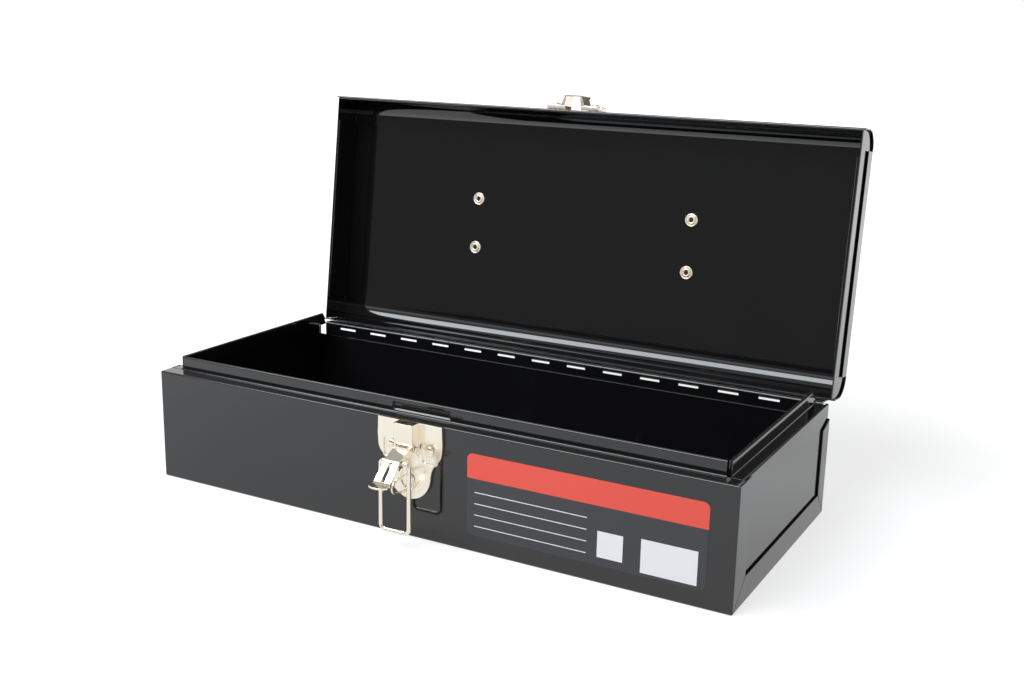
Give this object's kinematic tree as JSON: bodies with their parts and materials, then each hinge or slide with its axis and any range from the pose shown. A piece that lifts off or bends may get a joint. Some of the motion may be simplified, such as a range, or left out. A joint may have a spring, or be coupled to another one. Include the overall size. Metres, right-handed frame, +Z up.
{
  "type": "metal toolbox",
  "caption": "Small folded-steel toolbox with a piano-hinged lid, a draw latch with a wire bail and padlock eye, and a folding handle on the lid.",
  "frame": {"origin": "middle of the body's flat underside", "axes": "+X along the box to its right end, +Y from the latch towards the hinge, +Z up; the lid stands open at rest"},
  "size_m": [0.3556, 0.2326, 0.225],
  "materials": {
    "body_shell": "gloss black enamel",
    "body_end_left": "gloss black enamel",
    "body_end_right": "gloss black enamel",
    "hinge_leaf_body": "gloss black enamel",
    "hinge_pin": "bright nickel plate",
    "latch_base": "bright nickel plate",
    "latch_rivet_left": "bright nickel plate",
    "latch_rivet_right": "bright nickel plate",
    "latch_rivet_low": "bright nickel plate",
    "lever_pin": "bright nickel plate",
    "lid_shell": "gloss black enamel",
    "lid_end_left": "gloss black enamel",
    "lid_end_right": "gloss black enamel",
    "hinge_leaf_lid": "gloss black enamel",
    "keeper": "bright nickel plate",
    "keeper_rivet_left": "bright nickel plate",
    "keeper_rivet_right": "bright nickel plate",
    "handle_saddle_left": "bright nickel plate",
    "handle_saddle_right": "bright nickel plate",
    "handle_rivet_left_front": "bright nickel plate",
    "handle_rivet_left_rear": "bright nickel plate",
    "handle_rivet_right_front": "bright nickel plate",
    "handle_rivet_right_rear": "bright nickel plate",
    "handle_wire": "bright nickel plate",
    "handle_grip": "bright nickel plate",
    "latch_lever": "bright nickel plate",
    "latch_bail": "bright nickel plate"
  },
  "bodies": {
    "body": {"body_shell": "body_shell", "body_end_left": "body_end_left", "body_end_right": "body_end_right", "hinge_leaf_body": "hinge_leaf_body", "hinge_pin": "hinge_pin", "latch_base": "latch_base", "latch_rivet_left": "latch_rivet_left", "latch_rivet_right": "latch_rivet_right", "latch_rivet_low": "latch_rivet_low", "lever_pin": "lever_pin"},
    "lid": {"lid_shell": "lid_shell", "lid_end_left": "lid_end_left", "lid_end_right": "lid_end_right", "hinge_leaf_lid": "hinge_leaf_lid", "keeper": "keeper", "keeper_rivet_left": "keeper_rivet_left", "keeper_rivet_right": "keeper_rivet_right", "handle_saddle_left": "handle_saddle_left", "handle_saddle_right": "handle_saddle_right", "handle_rivet_left_front": "handle_rivet_left_front", "handle_rivet_left_rear": "handle_rivet_left_rear", "handle_rivet_right_front": "handle_rivet_right_front", "handle_rivet_right_rear": "handle_rivet_right_rear"},
    "handle": {"handle_wire": "handle_wire", "handle_grip": "handle_grip"},
    "lever": {"latch_lever": "latch_lever"},
    "bail": {"latch_bail": "latch_bail"}
  },
  "joints": [
    {"name": "lid_hinge", "type": "hinge", "parent": "body", "child": "lid", "pos_m": [0, 0.0782, 0.063], "axis": [1, 0, 0], "range_deg": [0, 97]},
    {"name": "handle_swing", "type": "hinge", "parent": "lid", "child": "handle", "pos_m": [0, 0.11681, 0.13705], "axis": [1, 0, 0], "range_deg": [-4, 170]},
    {"name": "latch_lever", "type": "hinge", "parent": "body", "child": "lever", "pos_m": [-0.0018, -0.0811, 0.0518], "axis": [1, 0, 0], "range_deg": [-6, 12]},
    {"name": "latch_bail", "type": "hinge", "parent": "lever", "child": "bail", "pos_m": [-0.0018, -0.0922, 0.047], "axis": [1, 0, 0], "range_deg": [-190, 6]}
  ]
}
